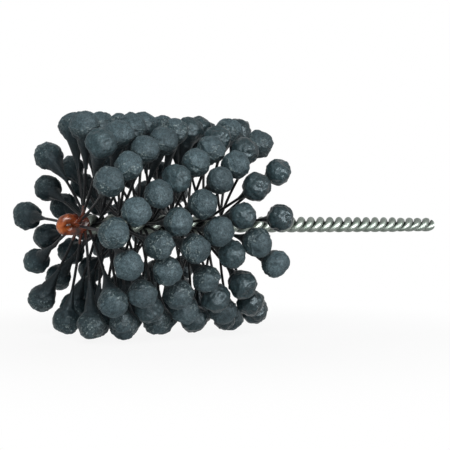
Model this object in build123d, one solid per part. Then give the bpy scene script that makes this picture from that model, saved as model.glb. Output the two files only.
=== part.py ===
from build123d import *
import math
import os
import random

# Flexible ball hone for bores, in millimetres. The stem axis is X: the cut end of the shank is at x = 0
# and the looped tip points to -X. The hone lies on its side, +Z is up and -Y is its near side.

# Stem: one wire, bent in a hairpin at the tip, its two legs twisted together
overall_length = 203.0
wire_diameter = 3.45
loop_bend_radius = 2.65
loop_straight = 0.6
twist_lead_in = 2.0
shank_wire_gap = 0.35
shank_twist_pitch = 11.2
shank_twist_start = 9.0

# Dip coat that seals the looped tip
coat_thickness = 0.3
bond_gap = 0.03

# Filaments: each one passes between the two wires and carries a globule on both ends
filament_count = 58
filaments_per_node = 2
filament_diameter = 1.15
filament_clearance = 0.04
filament_spacing = 1.255
filament_turn = -27.34
first_filament_angle = 6.0

# How far the globules stand from their filament's root along the stem, at the two ends of the brush
front_splay = -3.2
rear_splay = 6.5

# Abrasive globules, with a tapered neck on the filament
brush_diameter = 94.0
globule_diameter = 11.6
globule_size_spread = 0.055
small_globule_share = 0.06
small_globule_scale = 0.8
neck_length = 3.2
neck_root_radius = 1.9
neck_tip_wall = 0.25
neck_hollow = 0.2

# Unevenness of a brush that was dipped and dried by hand
axial_scatter = 2.4
side_scatter = 2.6
radial_scatter = 1.2
scatter_seed = 7244
globule_gap = 0.25
settle_rounds = 200
settle_share = 0.55

# Spacing of the points on the wire's centre line
wire_point_step = 1.25

# Worked out from the sizes above
wire_radius = wire_diameter / 2
filament_radius = filament_diameter / 2
skin_radius = wire_radius + bond_gap + coat_thickness
loop_centre_x = -overall_length + skin_radius + loop_bend_radius
twist_start_x = loop_centre_x + loop_straight
first_root_x = twist_start_x + twist_lead_in
last_root_x = first_root_x + (filament_count - 1) * filament_spacing
head_end_x = last_root_x + twist_lead_in
shank_zone_x = last_root_x + shank_twist_start
head_leg_radius = wire_radius + filament_radius + filament_clearance
shank_leg_radius = wire_radius + shank_wire_gap / 2
head_twist_rate = filament_turn / filament_spacing
shank_twist_rate = math.copysign(360 / shank_twist_pitch, filament_turn)
stub_half_length = head_leg_radius + wire_radius / 4

# Twist in degrees per millimetre, and distance of each leg from the stem axis, along the stem
twist_rates = [
    (twist_start_x, 0.0),
    (first_root_x, head_twist_rate),
    (head_end_x, head_twist_rate),
    (shank_zone_x, shank_twist_rate),
    (wire_diameter, shank_twist_rate),
]
leg_radii = [
    (loop_centre_x, loop_bend_radius),
    (first_root_x, head_leg_radius),
    (head_end_x, head_leg_radius),
    (shank_zone_x, shank_leg_radius),
]


def between(x, knots):
    """Height at x of the straight-line graph through the (x, height) knots."""
    if x <= knots[0][0]:
        return knots[0][1]
    for (x0, v0), (x1, v1) in zip(knots, knots[1:]):
        if x <= x1:
            return v0 + (v1 - v0) * (x - x0) / (x1 - x0)
    return knots[-1][1]


def area_under(x, knots):
    """Area under that graph from its first knot to x."""
    total = 0.0
    for (x0, v0), (x1, _) in zip(knots, knots[1:]):
        if x <= x0:
            break
        end = min(x, x1)
        total += (end - x0) * (v0 + between(end, knots)) / 2
    return total


def gap_angle(x):
    """Direction in which the gap between the legs opens at x, in degrees from the near side to the bottom."""
    return first_filament_angle + area_under(x, twist_rates) - area_under(first_root_x, twist_rates)


def outward(angle):
    """Unit vector away from the stem axis: 0 degrees is the near side, 90 the bottom."""
    return Vector(0, -math.cos(math.radians(angle)), -math.sin(math.radians(angle)))


def leg_point(x, side):
    """Point of a leg's centre line; the two legs are on the sides +1 and -1 of the gap."""
    return Vector(x, 0, 0) + outward(gap_angle(x) + side * 90) * between(x, leg_radii)


def leg_centre_line(side, end_x):
    """Centre line of one leg, from the hairpin to end_x."""
    steps = round((end_x - loop_centre_x) / wire_point_step)
    stations = [loop_centre_x + (end_x - loop_centre_x) * i / steps for i in range(steps + 1)]
    points = [leg_point(x, side) for x in stations]
    heading = points[-1] - leg_point(end_x - wire_point_step / 100, side)
    return Spline(*points, tangents=[(1, 0, 0), heading], tangent_scalars=[1, 1])


def bend_centre_line():
    """Half circle of the hairpin."""
    middle = Vector(loop_centre_x, 0, 0)
    across = outward(gap_angle(loop_centre_x) + 90) * loop_bend_radius
    return ThreePointArc(middle + across, middle - Vector(loop_bend_radius, 0, 0), middle - across)


def tube(path, radius):
    """Round bar along a path."""
    section = Plane(origin=path @ 0, z_dir=path % 0) * Circle(radius)
    return sweep(section, path)


def hairpin(end_x, radius):
    """Round bar round the bend and along both legs, cut square to the stem axis at end_x."""
    block = 4 * wire_diameter
    waste = Pos(end_x, 0, 0) * Box(block, block, block, align=(Align.MIN, Align.CENTER, Align.CENTER))
    skins = [tube(bend_centre_line(), radius).faces().filter_by(GeomType.TORUS)[0]]
    for side in (1, -1):
        leg = tube(leg_centre_line(side, end_x + wire_diameter), radius) - waste
        skins += leg.faces().sort_by(Axis.X)[1:]
    return Solid(Shell(skins))


def make_stem_wire():
    """Twisted wire stem, with both legs cut square at the shank end."""
    return hairpin(0, wire_radius)


def make_tip_coat():
    """Thin skin on the hairpin, up to the first filament."""
    skin_end = first_root_x - filament_radius - coat_thickness
    return hairpin(skin_end, skin_radius) - hairpin(skin_end, skin_radius - coat_thickness)


class Globule:
    """One abrasive globule: where its filament leaves the stem, where it sits and how large it is."""

    def __init__(self, root_x, angle, splay, dice):
        self.root_x = root_x
        self.out = outward(angle)
        self.side = outward(angle + 90)
        self.radius = globule_diameter / 2 * (1 + dice.uniform(-globule_size_spread, globule_size_spread))
        if dice.random() < small_globule_share:
            self.radius *= small_globule_scale
        self.reach = brush_diameter / 2 - self.radius - dice.uniform(0, radial_scatter)
        self.along = splay + dice.uniform(-axial_scatter, axial_scatter)
        self.aside = dice.uniform(-side_scatter, side_scatter)

    def centre(self):
        """Centre of the ball, at its full reach from the stem axis wherever it was pushed."""
        lift = math.sqrt(self.reach ** 2 - self.aside ** 2)
        y = self.out.Y * lift + self.side.Y * self.aside
        z = self.out.Z * lift + self.side.Z * self.aside
        return self.root_x + self.along, y, z

    def shift(self, move):
        """Move the ball along the stem and sideways."""
        self.along += move.X
        self.aside += move.dot(self.side)


def settle(globules):
    """Push apart the globules that are closer than the gap that they keep."""
    centres = [globule.centre() for globule in globules]
    for _ in range(settle_rounds):
        crowded = False
        for i, first in enumerate(globules):
            for j in range(i):
                second = globules[j]
                needed = first.radius + second.radius + globule_gap
                short = needed - math.dist(centres[i], centres[j])
                if short <= 0:
                    continue
                crowded = True
                push = (Vector(*centres[i]) - Vector(*centres[j])).normalized() * short * settle_share
                first.shift(push)
                second.shift(-push)
                centres[i] = first.centre()
                centres[j] = second.centre()
        if not crowded:
            break


def lay_out_globules():
    """The globules in pairs, one pair for each filament, settled so that none touches another."""
    dice = random.Random(scatter_seed)
    pairs = []
    for index in range(filament_count):
        root_x = first_root_x + index * filament_spacing
        splay = front_splay + (rear_splay - front_splay) * index / max(filament_count - 1, 1)
        angle = gap_angle(root_x)
        pairs.append([Globule(root_x, angle + turn, splay, dice) for turn in (0, 180)])
    settle([globule for pair in pairs for globule in pair])
    return pairs


def bend_towards(globule):
    """Corner and radius of the bend in one half of a filament, and the ball's centre where it ends."""
    root = Vector(globule.root_x, 0, 0)
    centre = Vector(*globule.centre())
    offset = centre - root
    rise = offset.dot(globule.out) - stub_half_length
    lean = (offset - globule.out * offset.dot(globule.out)).length
    straight = globule.radius + neck_length
    to_corner = (lean ** 2 + rise ** 2 - straight ** 2) / (2 * (rise + straight))
    corner = root + globule.out * (stub_half_length + to_corner)
    bend = math.atan2(lean, rise - to_corner)
    return corner, to_corner / math.tan(bend / 2), centre


def make_filament(pair):
    """One filament through the gap of the stem, bent towards the ball on each end."""
    corner_a, radius_a, end_a = bend_towards(pair[0])
    corner_b, radius_b, end_b = bend_towards(pair[1])
    path = FilletPolyline(end_a, corner_a, corner_b, end_b, radius=[radius_a, radius_b])
    return tube(path, filament_radius)


def make_globule(globule):
    """Ball with a tapered neck and a blind hole in which the filament ends, turned about its neck."""
    corner, _, centre = bend_towards(globule)
    radius = globule.radius
    hole = filament_radius + bond_gap
    mouth_radius = hole + neck_tip_wall
    mouth = -radius - neck_length
    join = -math.sqrt(radius ** 2 - neck_root_radius ** 2)
    waist_radius = (mouth_radius + neck_root_radius) / 2 - neck_hollow
    outline = Polyline((mouth_radius, mouth), (hole, mouth), (hole, bond_gap), (0, bond_gap), (0, radius))
    outline += ThreePointArc((0, radius), (radius, 0), (neck_root_radius, join))
    outline += ThreePointArc((neck_root_radius, join), (waist_radius, (mouth + join) / 2), (mouth_radius, mouth))
    body = revolve(Plane.XZ * make_face(outline), Axis.Z)
    return Plane(origin=centre, z_dir=centre - corner) * body


def main():
    os.makedirs("parts", exist_ok=True)
    pairs = lay_out_globules()
    export_step(make_stem_wire(), "parts/stem_wire.step")
    export_step(make_tip_coat(), "parts/tip_coat.step")
    for first in range(0, filament_count, filaments_per_node):
        group = pairs[first:first + filaments_per_node]
        number = first // filaments_per_node + 1
        filaments = Compound([make_filament(pair) for pair in group])
        globules = Compound([make_globule(globule) for pair in group for globule in pair])
        export_step(filaments, f"parts/filaments_{number:02d}.step")
        export_step(globules, f"parts/globules_{number:02d}.step")


main()
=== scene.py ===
import math
import random

import bmesh
import bpy
import numpy as np
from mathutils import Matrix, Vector, noise


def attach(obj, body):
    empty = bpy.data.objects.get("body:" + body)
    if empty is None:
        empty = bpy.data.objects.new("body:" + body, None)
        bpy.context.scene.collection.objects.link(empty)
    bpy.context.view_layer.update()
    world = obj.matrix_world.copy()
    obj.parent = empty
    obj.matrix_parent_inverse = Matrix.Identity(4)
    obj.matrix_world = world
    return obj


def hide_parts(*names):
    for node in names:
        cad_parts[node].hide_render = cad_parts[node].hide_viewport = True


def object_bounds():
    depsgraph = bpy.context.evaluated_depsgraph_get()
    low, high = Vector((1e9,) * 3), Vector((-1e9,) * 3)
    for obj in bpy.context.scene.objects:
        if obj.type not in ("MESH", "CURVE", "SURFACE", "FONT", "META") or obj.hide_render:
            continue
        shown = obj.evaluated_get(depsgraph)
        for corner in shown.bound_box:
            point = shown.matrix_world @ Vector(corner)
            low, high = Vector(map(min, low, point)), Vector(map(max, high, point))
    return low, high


# Flexible ball hone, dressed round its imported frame. The stem and the filaments keep their CAD shapes, while
# the globules and the dip coat are remodelled. All lengths are in metres.
BODY = "root"
MM = 0.001

# Camera, worked out from the hone's perspective in the photograph
PHOTO_PIXELS = 450
FOCAL_PIXELS = 1060
SENSOR_MM = 36
CAMERA_YAW = math.radians(33.5)
AIM_X = -180.1 * MM
AIM_RIGHT = 47.6 * MM
AIM_DISTANCE = 432 * MM
CAMERA_HEIGHT = -0.2 * MM
NEAREST_SEEN = 10 * MM

# Lamps: place, what they aim at, width and height in metres, and power in watts
HEAD_MIDDLE = (-0.155, 0, 0)
SHANK_MIDDLE = (-0.08, 0, 0)
LAMPS = {
    "key": ((-0.42, -0.38, 0.30), HEAD_MIDDLE, 0.24, 0.24, 1.38),
    "front": ((-0.34, -0.50, 0.08), HEAD_MIDDLE, 0.20, 0.20, 0.6),
    "back": ((0.05, 0.60, 0.35), HEAD_MIDDLE, 0.40, 0.40, 2.0),
    "card": ((-0.06, -0.58, 0.02), SHANK_MIDDLE, 0.7, 0.36, 16.0),
}

# Surroundings: their light on the object, and a floor that shows a share of plain white, least up to the
# shadow's reach from the head's middle and all of it from further out
SKY_COLOUR = (0.93, 0.97, 1.0, 1)
SKY_STRENGTH = 0.085
WHITE = (1, 1, 1, 1)
FLOOR_HALF = 20
FLOOR_COLOUR = (0.9, 0.9, 0.9, 1)
FLOOR_ROUGHNESS = 0.9
FLOOR_SPECULAR = 0.1
LEAST_WHITE = 0.9
SHADOW_REACH = 0.05
WHITE_FROM = 0.21

# Mesh of a globule: its rings and spokes, the share of the rings on the ball and how far round it they turn
RINGS = 84
SPOKES = 66
BALL_SHARE = 0.68
BALL_TURN = math.radians(130)

# Neck of a globule: how softly it leaves the ball, its radius at its end, its radius at the ball in radii of
# the ball, how far it runs past the CAD neck, and the power of its taper
NECK_BLEND = 1.2 * MM
NECK_END = 0.66 * MM
NECK_ROOT = (0.72, 1.0)
NECK_RUN = (0.0, 5.0 * MM)
NECK_TAPER = 1.35

# What changes along the head, each time as (tip side, shank side). Raw balls have no worn cap.
TIP_SIDE = -160 * MM
SHANK_SIDE = -124 * MM
EXTRA_NECK_RUN = (4.0 * MM, 0.0)
CAPPED_SHARE = (0.9, 0.12)
RAW_GLOSS = (0.35, 1.0)

# Unevenness of the balls, as (height in radii, lumps per radius). Up to the sphere's end it stands out from
# the ball's centre, beyond it from the neck, and it fades along the neck. These depths are in radii.
BROAD_LUMPS = (0.100, 1.2)
MIDDLE_LUMPS = (0.060, 2.8)
SMALL_LUMPS = (0.022, 6.5)
RAW_LUMPS = (0.048, 3.8)
SPHERE_END = 0.7
LUMPS_END = 1.6
LUMPS_FADE = 0.9
NECK_SHARE = 0.12
SEED_REACH = 50

# Flat spots, with their distance from the centre in radii
FLAT_SPOTS = 9
FLAT_DISTANCE = (0.90, 0.97)
FLAT_EDGE = 0.006

# Crust from the edge of the smooth worn cap towards the neck, in radii, and how its edge wanders, as
# (how far, times per radius)
CAP_EDGE = (-0.75, -0.05)
EDGE_WANDER = (0.55, 1.5)
EDGE_WIDTH = 0.10
EDGE_LIP = 0.022
CRUST_STEP = 0.030

# Crumbs of grit in the crust: height in radii, how many per radius, reach in spacings, how their heights vary,
# and how much of their height they keep on a raw ball
CRUMB_HEIGHT = 0.050
CRUMBS_PER_RADIUS = 6.0
CRUMB_REACH = 0.55
CRUMB_AVERAGE = 0.55
CRUMB_VARIETY = 2.3
RAW_CRUMBS = 0.35

# Shades of each point of a globule, from 0 to 1 but for inward: crumbs and lip, the ball's own tone, depth
# towards the neck in radii, crust against cap, gloss, and where loose grit may lie
SHADES = ("crumbs", "tone", "inward", "crust", "gloss", "grit")
INWARD_RANGE = (-1.0, 2.0)
INWARD_WANDER = (0.25, 2.2)
CRUST_GLOSS = 0.5
LIP_SHOWN = 0.2
LIP_PATCHES = (3.0, 8.0)

# Room between neighbouring balls: how near a neighbour counts, and how far both keep from their wall
NEIGHBOUR_GAP = 2.0 * MM
WALL_CLEARANCE = 0.05 * MM

# Measuring the CAD globules: rounds of fitting a ball, which vertices count as on it or at its mouth, and how
# many decimals of a metre two vertices share when they are one
FIT_ROUNDS = 12
FIT_PERCENT = 60
FIT_MISS = 0.02 * MM
MOUTH_DEPTH = 0.25 * MM
SAME_PLACE_DIGITS = 7

# Dip coat: where it ends along the wires, how far it climbs the first filaments, its skin, which thins on the
# way there, the grid and the rounds that make it one even skin, and its runs
COATED_FILAMENTS = ("filaments_01", "filaments_02")
COAT_END = -190.6 * MM
COAT_REACH = 8.6 * MM
COAT_THICKNESS = 0.32 * MM
COAT_FILLET = 0.16 * MM
COAT_THINNING = 0.75
THIN_FROM = 0.375
COAT_GRID = 0.24 * MM
EVENING = 0.5
EVENING_ROUNDS = 6
RUN_HEIGHT = 0.16 * MM
RUN_SIZE = 2.2 * MM
WELD = 0.001 * MM

# Where the materials change: the coat from bright to dark and to thin, the filaments from black to stained,
# and the wire from painted shade in its grooves to lighter crowns
COAT_BRIGHT_LENGTH = 3.0 * MM
COAT_DARK_LENGTH = 4.5 * MM
COAT_THIN_FROM_TO = (4.0 * MM, 11.0 * MM)
STAIN_ALONG = (-189 * MM, -193 * MM)
STAIN_ACROSS = (7 * MM, 3.15 * MM)
GROOVE_SHADE_TO_CROWN = (2.4 * MM, 3.5 * MM)

# Noise patterns of the materials, as (repeats per metre, detail, roughness), and the depth of their bumps
BLOTCH = (260, 3.0, 0.55)
MOTTLE = (800, 3.0, 0.6)
GRAIN = (1900, 3.0, 0.75)
SPECKS = (1150, 2.0, 0.6)
NYLON_STREAK = (420, 3.0, 0.55)
ZINC_PATCH = (330, 4.0, 0.55)
ZINC_FINE = (2400, 3.0, 0.6)
COAT_RUNS = (330, 3.0, 0.55)
MOTTLE_DEPTH = 0.22 * MM
GRAIN_DEPTH = 0.07 * MM
NYLON_DEPTH = 0.03 * MM
ZINC_PATCH_DEPTH = 0.005 * MM
ZINC_FINE_DEPTH = 0.0015 * MM
COAT_DEPTH = 0.20 * MM

# Colours, linear
SLATE = ((0.044, 0.072, 0.083), (0.076, 0.113, 0.126))
CRUST_SHADE = (0.50, 0.56, 0.56)
# Necks go nearly black: partly their thin coat over black nylon, partly painted shade deep inside the head
NECK_COAT_AND_PAINTED_SHADE = (0.30, 0.35, 0.38)
NECK_END_COAT_AND_PAINTED_SHADE = (0.09, 0.12, 0.13)
PALE_CRUMB = (0.23, 0.285, 0.285)
ABRASIVE_TINT = (0.80, 0.93, 1.0, 1)
NYLON_BLACK = ((0.004, 0.005, 0.006), (0.011, 0.013, 0.015))
STAIN = (0.17, 0.035, 0.012)
ZINC = ((0.11, 0.135, 0.115), (0.17, 0.195, 0.175), (0.25, 0.275, 0.25))
COAT_BRIGHT = ((0.16, 0.030, 0.006), (0.40, 0.085, 0.015), (0.60, 0.16, 0.035))
COAT_DARK = ((0.025, 0.007, 0.004), (0.09, 0.016, 0.006), (0.22, 0.040, 0.012))
COAT_THIN = (0.05, 0.010, 0.005)

# Blender's sockets on a Mix node that mixes colours
MIX_SHARE = 0
MIX_FIRST = 6
MIX_SECOND = 7
MIX_RESULT = 2

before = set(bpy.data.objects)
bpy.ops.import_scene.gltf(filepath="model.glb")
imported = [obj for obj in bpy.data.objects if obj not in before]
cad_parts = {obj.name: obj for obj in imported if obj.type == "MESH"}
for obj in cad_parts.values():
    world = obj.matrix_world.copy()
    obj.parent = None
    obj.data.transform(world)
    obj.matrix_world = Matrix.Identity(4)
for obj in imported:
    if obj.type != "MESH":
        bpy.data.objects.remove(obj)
cad_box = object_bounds()
node_names = sorted(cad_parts)


def material(name):
    """New material, its node tree and its shader node."""
    made = bpy.data.materials.new(name)
    made.use_nodes = True
    tree = made.node_tree
    return made, tree, tree.nodes["Principled BSDF"]


def add(tree, kind, **settings):
    """New shader node with inputs or attributes set by name."""
    node = tree.nodes.new(kind)
    for key, value in settings.items():
        if key in node.inputs:
            node.inputs[key].default_value = value
        else:
            setattr(node, key, value)
    return node


def noise_field(tree, place, pattern):
    """Noise at a place socket: the pattern is (repeats per metre, detail, roughness)."""
    scale, detail, roughness = pattern
    field = add(tree, "ShaderNodeTexNoise", Scale=scale, Detail=detail, Roughness=roughness)
    tree.links.new(place, field.inputs["Vector"])
    return field.outputs["Fac"]


def ramp(tree, value, stops):
    """Colour by value: stops are (position, colour)."""
    node = add(tree, "ShaderNodeValToRGB")
    while len(node.color_ramp.elements) < len(stops):
        node.color_ramp.elements.new(0.5)
    for element, (position, colour) in zip(node.color_ramp.elements, stops):
        element.position = position
        element.color = (*colour, 1)
    tree.links.new(value, node.inputs["Fac"])
    return node.outputs["Color"]


def grey(level):
    """Grey of a level."""
    return (level, level, level)


def grey_ramp(tree, value, stops):
    """Grey by value: stops are (position, level)."""
    return ramp(tree, value, [(position, grey(level)) for position, level in stops])


def mix(tree, share, first, second, blend_type="MIX"):
    """Mix of two colours, each a socket or a colour. The share is a socket or a number."""
    node = add(tree, "ShaderNodeMix", data_type="RGBA", blend_type=blend_type)
    for index, value in ((MIX_SHARE, share), (MIX_FIRST, first), (MIX_SECOND, second)):
        if isinstance(value, bpy.types.NodeSocket):
            tree.links.new(value, node.inputs[index])
        elif index == MIX_SHARE:
            node.inputs[index].default_value = value
        else:
            node.inputs[index].default_value = (*value, 1)
    return node.outputs[MIX_RESULT]


def multiply(tree, *values):
    """Product of colours, each a socket or a colour."""
    product = values[0]
    for value in values[1:]:
        product = mix(tree, 1.0, product, value, "MULTIPLY")
    return product


def bump(tree, shader, layers):
    """Bumps on top of each other: layers are (height socket, depth in metres)."""
    last = None
    for height, depth in layers:
        node = add(tree, "ShaderNodeBump", Strength=1.0, Distance=depth)
        tree.links.new(height, node.inputs["Height"])
        if last:
            tree.links.new(last, node.inputs["Normal"])
        last = node.outputs["Normal"]
    tree.links.new(last, shader.inputs["Normal"])


def share_between(tree, value, none, full):
    """0 where a value is at none, 1 where it is at full, and straight between."""
    node = add(tree, "ShaderNodeMapRange", **{"From Min": none, "From Max": full})
    tree.links.new(value, node.inputs["Value"])
    return node.outputs["Result"]


def along_stem(tree, place):
    """Place along the stem axis."""
    parts = add(tree, "ShaderNodeSeparateXYZ")
    tree.links.new(place, parts.inputs[0])
    return parts.outputs["X"]


def from_stem(tree, place):
    """Distance from the stem axis."""
    flat = add(tree, "ShaderNodeVectorMath", operation="MULTIPLY")
    flat.inputs[1].default_value = (0, 1, 1)
    tree.links.new(place, flat.inputs[0])
    distance = add(tree, "ShaderNodeVectorMath", operation="LENGTH")
    tree.links.new(flat.outputs[0], distance.inputs[0])
    return distance.outputs["Value"]


def abrasive_material():
    """Silicon carbide grit in resin: slate caps, rough crust with pale crumbs, nearly black at the neck,
    partly as its thin coat over black nylon and partly as painted shade deep in the head.
    """
    made, tree, shader = material("abrasive")
    place = add(tree, "ShaderNodeTexCoord").outputs["Object"]
    crumbs, tone, inward, crust, gloss, grit = (
        add(tree, "ShaderNodeAttribute", attribute_name=label).outputs["Fac"] for label in SHADES)
    blotch = noise_field(tree, place, BLOTCH)
    mottle = noise_field(tree, place, MOTTLE)
    grain = noise_field(tree, place, GRAIN)
    specks = noise_field(tree, place, SPECKS)
    turned = share_between(tree, inward, *INWARD_RANGE)
    # Darker towards the neck: partly the thin coat over black nylon, partly painted shade deep inside the head
    neck_coat_and_shade_stops = [(0.25, grey(1.0)), (0.45, grey(0.80)), (0.60, NECK_COAT_AND_PAINTED_SHADE), (0.80, NECK_END_COAT_AND_PAINTED_SHADE)]
    base = multiply(
        tree,
        ramp(tree, blotch, [(0.32, SLATE[0]), (0.68, SLATE[1])]),
        grey_ramp(tree, tone, [(0.0, 0.72), (1.0, 1.15)]),
        grey_ramp(tree, mottle, [(0.34, 0.74), (0.5, 0.98), (0.66, 1.28)]),
        grey_ramp(tree, grain, [(0.36, 0.55), (0.5, 0.95), (0.64, 1.50)]),
        ramp(tree, crust, [(0.0, grey(1.0)), (1.0, CRUST_SHADE)]),
        ramp(tree, turned, neck_coat_and_shade_stops))
    fixed_crumbs = multiply(
        tree,
        grey_ramp(tree, crumbs, [(0.30, 0.0), (0.85, 1.0)]),
        grey_ramp(tree, turned, [(0.20, 0.9), (0.42, 0.75), (0.56, 0.2), (0.66, 0.0)]))
    loose_crumbs = multiply(
        tree,
        grey_ramp(tree, specks, [(0.56, 0.0), (0.63, 0.9)]),
        grit,
        grey_ramp(tree, turned, [(0.22, 1.0), (0.38, 0.25), (0.48, 0.0)]),
        grey_ramp(tree, blotch, [(0.42, 0.25), (0.56, 1.0)]))
    pale = mix(tree, 1.0, fixed_crumbs, loose_crumbs, "LIGHTEN")
    tree.links.new(mix(tree, pale, base, PALE_CRUMB), shader.inputs["Base Color"])
    glossy = grey_ramp(tree, mottle, [(0.35, 0.42), (0.65, 0.27)])
    matt = grey_ramp(tree, mottle, [(0.35, 0.80), (0.65, 0.60)])
    tree.links.new(mix(tree, gloss, matt, glossy), shader.inputs["Roughness"])
    shader.inputs["Specular IOR Level"].default_value = 0.25
    shader.inputs["Specular Tint"].default_value = ABRASIVE_TINT
    bump(tree, shader, [(mottle, MOTTLE_DEPTH), (grain, GRAIN_DEPTH)])
    return made


def filament_material():
    """Black nylon, with the dip coat's stain on the roots next to the tip."""
    made, tree, shader = material("filament_nylon")
    place = add(tree, "ShaderNodeTexCoord").outputs["Object"]
    streak = noise_field(tree, place, NYLON_STREAK)
    black = ramp(tree, streak, [(0.3, NYLON_BLACK[0]), (0.7, NYLON_BLACK[1])])
    stained = add(tree, "ShaderNodeMath", operation="MULTIPLY")
    tree.links.new(share_between(tree, along_stem(tree, place), *STAIN_ALONG), stained.inputs[0])
    tree.links.new(share_between(tree, from_stem(tree, place), *STAIN_ACROSS), stained.inputs[1])
    tree.links.new(mix(tree, stained.outputs[0], black, STAIN), shader.inputs["Base Color"])
    tree.links.new(grey_ramp(tree, streak, [(0.3, 0.26), (0.7, 0.42)]), shader.inputs["Roughness"])
    shader.inputs["Specular IOR Level"].default_value = 0.13
    bump(tree, shader, [(streak, NYLON_DEPTH)])
    return made


def wire_material():
    """Galvanised steel wire: dull zinc, lighter on the crowns of the twist and with painted shade in its
    grooves.
    """
    made, tree, shader = material("galvanised_wire")
    place = add(tree, "ShaderNodeTexCoord").outputs["Object"]
    patch = noise_field(tree, place, ZINC_PATCH)
    fine = noise_field(tree, place, ZINC_FINE)
    # Darker towards the stem axis: painted shade in the grooves between the strands, lighter on the crowns
    height = share_between(tree, from_stem(tree, place), *GROOVE_SHADE_TO_CROWN)
    colour = multiply(
        tree,
        ramp(tree, patch, [(0.3, ZINC[0]), (0.52, ZINC[1]), (0.75, ZINC[2])]),
        grey_ramp(tree, height, [(0.0, 0.80), (0.5, 0.98), (1.0, 1.12)]),
        grey_ramp(tree, fine, [(0.3, 0.80), (0.7, 1.15)]))
    tree.links.new(colour, shader.inputs["Base Color"])
    tree.links.new(grey_ramp(tree, patch, [(0.3, 0.44), (0.75, 0.35)]), shader.inputs["Roughness"])
    shader.inputs["Metallic"].default_value = 0.9
    bump(tree, shader, [(patch, ZINC_PATCH_DEPTH), (fine, ZINC_FINE_DEPTH)])
    return made


def coat_material():
    """Orange dip coat: glossy, darker away from the tip and darkest where it runs thin up the filaments."""
    made, tree, shader = material("dip_coat")
    place = add(tree, "ShaderNodeTexCoord").outputs["Object"]
    runs = noise_field(tree, place, COAT_RUNS)
    bright = ramp(tree, runs, [(0.34, COAT_BRIGHT[0]), (0.5, COAT_BRIGHT[1]), (0.66, COAT_BRIGHT[2])])
    dark = ramp(tree, runs, [(0.34, COAT_DARK[0]), (0.5, COAT_DARK[1]), (0.68, COAT_DARK[2])])
    bright_end = cad_box[0][0] + COAT_BRIGHT_LENGTH
    dark_start = COAT_END - COAT_DARK_LENGTH
    along = share_between(tree, along_stem(tree, place), bright_end, dark_start)
    thin = share_between(tree, from_stem(tree, place), *COAT_THIN_FROM_TO)
    colour = mix(tree, thin, mix(tree, along, bright, dark), COAT_THIN)
    tree.links.new(colour, shader.inputs["Base Color"])
    shader.inputs["Roughness"].default_value = 0.20
    shader.inputs["Specular IOR Level"].default_value = 0.4
    shader.inputs["Subsurface Weight"].default_value = 0.12
    shader.inputs["Subsurface Scale"].default_value = 0.6 * MM
    bump(tree, shader, [(runs, COAT_DEPTH)])
    return made


def smooth_step(value):
    """0 below 0, 1 above 1 and an even curve between."""
    value = min(1.0, max(0.0, value))
    return value * value * (3 - 2 * value)


def cut_copy(name, planes):
    """Closed copy of a CAD node's mesh, cut off at planes of (point, outward direction)."""
    work = bmesh.new()
    work.from_mesh(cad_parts[name].data)
    bmesh.ops.remove_doubles(work, verts=work.verts, dist=WELD)
    for point, direction in planes:
        everything = work.verts[:] + work.edges[:] + work.faces[:]
        cut = bmesh.ops.bisect_plane(
            work, geom=everything, plane_co=point, plane_no=direction, clear_outer=True)
        rim = [item for item in cut["geom_cut"] if isinstance(item, bmesh.types.BMEdge)]
        bmesh.ops.holes_fill(work, edges=rim)
    work.normal_update()
    return work


def swell(work, depth):
    """Moves a mesh's surface outwards, less and less towards the coat's reach from the stem."""
    for vert in work.verts:
        away = math.hypot(vert.co.y, vert.co.z) / COAT_REACH
        thinner = smooth_step((away - THIN_FROM) / (1 - THIN_FROM))
        vert.co += vert.normal * depth * (1 - COAT_THINNING * thinner)


def coat_body():
    """Swollen hairpin and swollen roots of the first filaments, as closed parts that cross each other."""
    ahead = (Vector((COAT_END, 0, 0)), Vector((1, 0, 0)))
    sideways = [Vector((0, 1, 0)), Vector((0, 0, 1)), Vector((0, -1, 0)), Vector((0, 0, -1))]
    around = [(direction * COAT_REACH, direction) for direction in sideways]
    whole = bpy.data.meshes.new("dip_coat")
    together = bmesh.new()
    for name in ("stem_wire", *COATED_FILAMENTS):
        part = cut_copy(name, [ahead] if name == "stem_wire" else [ahead, *around])
        swell(part, COAT_THICKNESS + COAT_FILLET)
        part.to_mesh(whole)
        together.from_mesh(whole)
        part.free()
    together.to_mesh(whole)
    together.free()
    return whole


def dress_coat(finish):
    """Dip coat in place of its CAD skin: over the hairpin, into its corners and up the first filaments."""
    piece = bpy.data.objects.new("dip_coat", coat_body())
    bpy.context.scene.collection.objects.link(piece)
    grid = piece.modifiers.new("grid", "REMESH")
    grid.mode = "VOXEL"
    grid.voxel_size = COAT_GRID
    shrink = piece.modifiers.new("shrink", "DISPLACE")
    shrink.mid_level = 0
    shrink.strength = -COAT_FILLET
    even = piece.modifiers.new("even", "SMOOTH")
    even.factor = EVENING
    even.iterations = EVENING_ROUNDS
    bpy.context.view_layer.update()
    seen = piece.evaluated_get(bpy.context.evaluated_depsgraph_get())
    final = bpy.data.meshes.new_from_object(seen)
    piece.modifiers.clear()
    piece.data = final
    places = []
    for vert in final.vertices:
        place = vert.co + vert.normal * noise.noise(vert.co / RUN_SIZE) * RUN_HEIGHT
        places += [max(place.x, cad_box[0][0]), place.y, place.z]
    final.vertices.foreach_set("co", places)
    final.shade_smooth()
    final.materials.clear()
    final.materials.append(finish)
    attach(piece, BODY)
    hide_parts("tip_coat")


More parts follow.
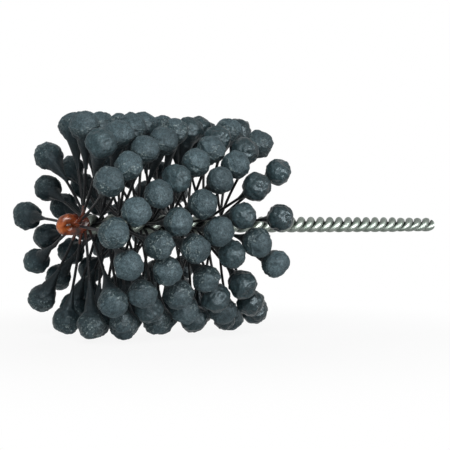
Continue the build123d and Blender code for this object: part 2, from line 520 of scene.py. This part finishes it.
def loose_solids(node):
    """Vertices of each separate solid of a CAD node."""
    mesh = node.data
    count = len(mesh.vertices)
    places = np.empty(count * 3)
    mesh.vertices.foreach_get("co", places)
    places = places.reshape(-1, 3)
    known = {}
    number = np.empty(count, dtype=int)
    for index, place in enumerate(map(tuple, np.round(places, SAME_PLACE_DIGITS))):
        number[index] = known.setdefault(place, len(known))
    parent = list(range(len(known)))

    def root(item):
        """The one member that stands for an item's solid."""
        while parent[item] != item:
            parent[item] = parent[parent[item]]
            item = parent[item]
        return item

    for edge in mesh.edges:
        parent[root(number[edge.vertices[0]])] = root(number[edge.vertices[1]])
    groups = {}
    for index in range(count):
        groups.setdefault(root(number[index]), []).append(index)
    return [places[members] for members in groups.values()]


def measure_globule(points):
    """Ball centre, ball radius, neck direction and neck length of one CAD globule."""
    ball = points
    for _ in range(FIT_ROUNDS):
        system = np.hstack([2 * ball, np.ones((len(ball), 1))])
        answer = np.linalg.lstsq(system, (ball ** 2).sum(axis=1), rcond=None)[0]
        centre = answer[:3]
        radius = math.sqrt(answer[3] + centre @ centre)
        off = np.abs(np.linalg.norm(points - centre, axis=1) - radius)
        ball = points[off < max(np.percentile(off, FIT_PERCENT), FIT_MISS)]
    away = points - centre
    reach = np.linalg.norm(away, axis=1)
    mouth = away[reach > reach.max() - MOUTH_DEPTH].mean(axis=0)
    length = np.linalg.norm(mouth)
    return Vector(centre), radius, Vector(mouth / length), float(length - radius)


def ring_depths(radius, end):
    """Depths of a globule's rings along its neck's direction: even turns round the ball, then even steps."""
    start = -radius * math.cos(BALL_TURN)
    depths = []
    for ring in range(RINGS + 1):
        along = ring / RINGS
        if along < BALL_SHARE:
            depths.append(-radius * math.cos(BALL_TURN * along / BALL_SHARE))
        else:
            depths.append(start + (end - start) * (along - BALL_SHARE) / (1 - BALL_SHARE))
    return depths


def stalk_profile(depth, radius, end, root_width):
    """Radius of a globule at a depth along its neck's direction: the ball runs out into the neck."""
    ball = math.sqrt(max(radius ** 2 - depth ** 2, 0.0))
    if depth <= 0:
        return ball
    beyond = min(depth / end, 1.0)
    stalk = NECK_END + (root_width - NECK_END) * (1 - beyond) ** NECK_TAPER
    overlap = NECK_BLEND - abs(ball - stalk)
    if overlap <= 0:
        return max(ball, stalk)
    return max(ball, stalk) + overlap ** 2 / (4 * NECK_BLEND)


def flats(dice):
    """Flat spots of one ball: directions and how far each lies from the centre, in radii."""
    spots = []
    for _ in range(FLAT_SPOTS):
        direction = Vector([dice.gauss(0, 1) for _ in range(3)]).normalized()
        spots.append((direction, dice.uniform(*FLAT_DISTANCE)))
    return spots


def flattened(direction, spots):
    """Distance of the surface from the centre in a direction, in radii, with the flat spots worn off."""
    reach = 1.0
    for spot, distance in spots:
        facing = direction.dot(spot)
        if facing > distance:
            reach = min(reach, distance / facing + FLAT_EDGE)
    return min(reach, 1.0)


def wander(place, pattern):
    """Noise between plus and minus a height: the pattern is (height, repeats per radius)."""
    height, per_radius = pattern
    return noise.noise(place * per_radius) * height


def crumb_height(place):
    """Rounded crumbs of grit, each as tall as its own place says."""
    distances, grains = noise.voronoi(place * CRUMBS_PER_RADIUS)
    dome = max(0.0, 1 - (distances[0] / CRUMB_REACH) ** 2)
    return dome * min(1.0, max(0.0, CRUMB_AVERAGE + noise.noise(grains[0] * CRUMB_VARIETY)))


def relief(place, past_edge, raw):
    """Height of the surface in radii, and how much of crust, crumb and lip is there."""
    crust = 1.0 if raw else smooth_step(past_edge / EDGE_WIDTH)
    crumb = crumb_height(place) * (RAW_CRUMBS if raw else 1) if crust else 0.0
    lip = 0.0 if raw else max(0.0, 1 - abs(past_edge) / EDGE_WIDTH)
    height = wander(place, BROAD_LUMPS) + wander(place, MIDDLE_LUMPS)
    height += wander(place, RAW_LUMPS if raw else SMALL_LUMPS)
    height += lip * EDGE_LIP + crust * (crumb * CRUMB_HEIGHT - CRUST_STEP)
    return height, crust, crumb, lip


def walls_round(centre, radius, balls):
    """Walls midway between a ball and its near neighbours: a point on each and the way out of this ball."""
    walls = []
    for other, other_radius in balls:
        gap = (other - centre).length - radius - other_radius
        if other != centre and gap < NEIGHBOUR_GAP:
            way = (other - centre).normalized()
            walls.append((centre + way * (radius + gap / 2 - WALL_CLEARANCE), way))
    return walls


def inside_walls(place, walls):
    """The place, or the nearest one on this ball's side: neighbours press each other flat."""
    for point, way in walls:
        beyond = (place - point).dot(way)
        if beyond > 0:
            place = place - way * beyond
    return place


def inside_box(place):
    """The place, or the nearest one in the CAD model's box."""
    return Vector([min(max(value, low), high) for value, low, high in zip(place, *cad_box)])


def along_head(pair, tip_share):
    """Value between a pair's for the tip side and the shank side of the head."""
    return pair[1] + (pair[0] - pair[1]) * tip_share


def globule_mesh(centre, radius, neck, neck_length, walls, dice):
    """Points and surface shades of one lumpy ball that runs out into its neck, ring by ring."""
    side = neck.orthogonal().normalized()
    across = neck.cross(side)
    tip_share = smooth_step((SHANK_SIDE - centre.x) / (SHANK_SIDE - TIP_SIDE))
    seed = Vector([dice.uniform(-SEED_REACH, SEED_REACH) for _ in range(3)])
    spots = flats(dice)
    end = radius + neck_length + dice.uniform(*NECK_RUN) + along_head(EXTRA_NECK_RUN, tip_share)
    root_width = radius * dice.uniform(*NECK_ROOT)
    cap_edge = dice.uniform(*CAP_EDGE)
    raw = dice.random() > along_head(CAPPED_SHARE, tip_share)
    tone = dice.random()
    points = []
    shades = {label: [] for label in SHADES}
    for depth in ring_depths(radius, end):
        on_ball = depth < radius * SPHERE_END
        spread = stalk_profile(depth, radius, end, root_width)
        fade = min(1.0, max(NECK_SHARE, (radius * LUMPS_END - depth) / (radius * LUMPS_FADE)))
        for spoke in range(SPOKES):
            angle = 2 * math.pi * spoke / SPOKES
            out = side * math.cos(angle) + across * math.sin(angle)
            point = neck * depth + out * spread
            direction = point.normalized() if on_ball else out
            place = point / radius + seed
            worn = flattened(direction, spots) - 1 if on_ball else 0.0
            past_edge = depth / radius - cap_edge - wander(place, EDGE_WANDER)
            height, crust, crumb, lip = relief(place, past_edge, raw)
            lumpy = centre + point + direction * ((worn + height) * radius * fade)
            points.append(inside_box(inside_walls(lumpy, walls)))
            pale_lip = lip * smooth_step(LIP_SHOWN + wander(place, LIP_PATCHES))
            shades["crumbs"].append(max(crumb * crust, pale_lip))
            shades["tone"].append(tone)
            shades["inward"].append(depth / radius + wander(place, INWARD_WANDER))
            shades["crust"].append(crust)
            shades["gloss"].append(along_head(RAW_GLOSS, tip_share) if raw else crust * CRUST_GLOSS)
            shades["grit"].append(0.0 if raw else crust)
    return points, shades


def globule_faces(start):
    """Faces between a globule's rings and over both its ends, for points counted from a start."""
    faces = []
    for ring in range(RINGS):
        for spoke in range(SPOKES):
            first = start + ring * SPOKES + spoke
            second = start + ring * SPOKES + (spoke + 1) % SPOKES
            faces.append((first, second, second + SPOKES, first + SPOKES))
    last_ring = start + RINGS * SPOKES
    faces.append(tuple(reversed(range(start, start + SPOKES))))
    faces.append(tuple(range(last_ring, last_ring + SPOKES)))
    return faces


def node_number(name):
    """The number at the end of a node's name."""
    return int(name[-2:])


def dress_globules(name, globules, balls, finish):
    """Lumpy balls in place of a CAD node of globules, kept clear of all balls."""
    dice = random.Random(node_number(name))
    points, faces = [], []
    shades = {label: [] for label in SHADES}
    for centre, radius, neck, neck_length in globules:
        walls = walls_round(centre, radius, balls)
        new_points, new_shades = globule_mesh(centre, radius, neck, neck_length, walls, dice)
        faces += globule_faces(len(points))
        points += new_points
        for label, values in new_shades.items():
            shades[label] += values
    mesh = bpy.data.meshes.new("abrasive_" + name)
    mesh.from_pydata(points, [], faces)
    mesh.shade_smooth()
    mesh.materials.append(finish)
    for label, values in shades.items():
        mesh.attributes.new(label, "FLOAT", "POINT").data.foreach_set("value", values)
    piece = bpy.data.objects.new("abrasive_" + name, mesh)
    bpy.context.scene.collection.objects.link(piece)
    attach(piece, BODY)
    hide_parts(name)


def paint(node, finish):
    """Gives a CAD node a material."""
    node.data.materials.clear()
    node.data.materials.append(finish)
    node.data.shade_smooth()


def add_camera():
    """Camera at the photograph's place."""
    forward = Vector((math.sin(CAMERA_YAW), math.cos(CAMERA_YAW), 0))
    right = Vector((math.cos(CAMERA_YAW), -math.sin(CAMERA_YAW), 0))
    lens = bpy.data.cameras.new("camera")
    lens.sensor_width = SENSOR_MM
    lens.lens = FOCAL_PIXELS / PHOTO_PIXELS * SENSOR_MM
    lens.clip_start = NEAREST_SEEN
    camera = bpy.data.objects.new("camera", lens)
    camera.location = Vector((AIM_X, 0, CAMERA_HEIGHT)) + right * AIM_RIGHT - forward * AIM_DISTANCE
    camera.rotation_euler = (math.pi / 2, 0, -CAMERA_YAW)
    bpy.context.scene.collection.objects.link(camera)
    bpy.context.scene.camera = camera


def add_lamp(name, place, target, width, height, power):
    """Soft white lamp at a place, aimed at a target."""
    light = bpy.data.lights.new(name, "AREA")
    light.shape = "RECTANGLE"
    light.size = width
    light.size_y = height
    light.energy = power
    lamp = bpy.data.objects.new(name, light)
    lamp.location = place
    lamp.rotation_euler = (Vector(target) - Vector(place)).to_track_quat("-Z", "Y").to_euler()
    bpy.context.scene.collection.objects.link(lamp)
    return lamp


def seen_directly(tree):
    """1 for camera, glossy and transmission rays, otherwise 0."""
    path = add(tree, "ShaderNodeLightPath")
    total = path.outputs["Is Camera Ray"]
    for ray in ("Is Glossy Ray", "Is Transmission Ray"):
        most = add(tree, "ShaderNodeMath", operation="MAXIMUM")
        tree.links.new(total, most.inputs[0])
        tree.links.new(path.outputs[ray], most.inputs[1])
        total = most.outputs[0]
    return total


def add_world():
    """White surroundings to the eye, plain soft light on the object."""
    world = bpy.data.worlds.new("studio")
    bpy.context.scene.world = world
    world.use_nodes = True
    tree = world.node_tree
    tree.nodes.clear()
    light = add(tree, "ShaderNodeBackground", Color=SKY_COLOUR, Strength=SKY_STRENGTH)
    white = add(tree, "ShaderNodeBackground", Color=WHITE, Strength=1.0)
    choice = add(tree, "ShaderNodeMixShader")
    tree.links.new(seen_directly(tree), choice.inputs[0])
    tree.links.new(light.outputs[0], choice.inputs[1])
    tree.links.new(white.outputs[0], choice.inputs[2])
    out = add(tree, "ShaderNodeOutputWorld")
    tree.links.new(choice.outputs[0], out.inputs["Surface"])


def add_floor(height):
    """White floor that keeps the object's shadow and runs out into the white surroundings."""
    mesh = bpy.data.meshes.new("floor")
    signs = ((-1, -1), (1, -1), (1, 1), (-1, 1))
    mesh.from_pydata([(x * FLOOR_HALF, y * FLOOR_HALF, height) for x, y in signs], [], [(0, 1, 2, 3)])
    floor = bpy.data.objects.new("floor", mesh)
    bpy.context.scene.collection.objects.link(floor)
    made, tree, shader = material("floor_white")
    shader.inputs["Base Color"].default_value = FLOOR_COLOUR
    shader.inputs["Roughness"].default_value = FLOOR_ROUGHNESS
    shader.inputs["Specular IOR Level"].default_value = FLOOR_SPECULAR
    glow = add(tree, "ShaderNodeEmission", Color=WHITE, Strength=1.0)
    place = add(tree, "ShaderNodeTexCoord").outputs["Object"]
    offset = add(tree, "ShaderNodeVectorMath", operation="DISTANCE")
    offset.inputs[1].default_value = (*HEAD_MIDDLE[:2], height)
    tree.links.new(place, offset.inputs[0])
    limits = {"From Min": SHADOW_REACH, "From Max": WHITE_FROM, "To Min": LEAST_WHITE, "To Max": 1.0}
    whiteness = add(tree, "ShaderNodeMapRange", interpolation_type="SMOOTHSTEP", **limits)
    tree.links.new(offset.outputs["Value"], whiteness.inputs["Value"])
    glowing = add(tree, "ShaderNodeMath", operation="MULTIPLY")
    tree.links.new(seen_directly(tree), glowing.inputs[0])
    tree.links.new(whiteness.outputs["Result"], glowing.inputs[1])
    blend = add(tree, "ShaderNodeMixShader")
    tree.links.new(glowing.outputs[0], blend.inputs[0])
    tree.links.new(shader.outputs[0], blend.inputs[1])
    tree.links.new(glow.outputs[0], blend.inputs[2])
    tree.links.new(blend.outputs[0], tree.nodes["Material Output"].inputs["Surface"])
    mesh.materials.append(made)


bpy.context.scene.view_settings.view_transform = "Standard"
add_camera()
add_world()
add_floor(cad_box[0][2])
lamps = {name: add_lamp(name, *facts) for name, facts in LAMPS.items()}
lamps["back"].visible_glossy = False
lamps["card"].visible_diffuse = False

abrasive = abrasive_material()
nylon = filament_material()
measured = {name: [measure_globule(solid) for solid in loose_solids(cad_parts[name])]
            for name in node_names if name.startswith("globules")}
all_balls = [(centre, radius) for globules in measured.values() for centre, radius, _, _ in globules]
for node_name in node_names:
    if node_name in measured:
        dress_globules(node_name, measured[node_name], all_balls, abrasive)
    elif node_name.startswith("filaments"):
        paint(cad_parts[node_name], nylon)
paint(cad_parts["stem_wire"], wire_material())
dress_coat(coat_material())

bpy.context.view_layer.update()
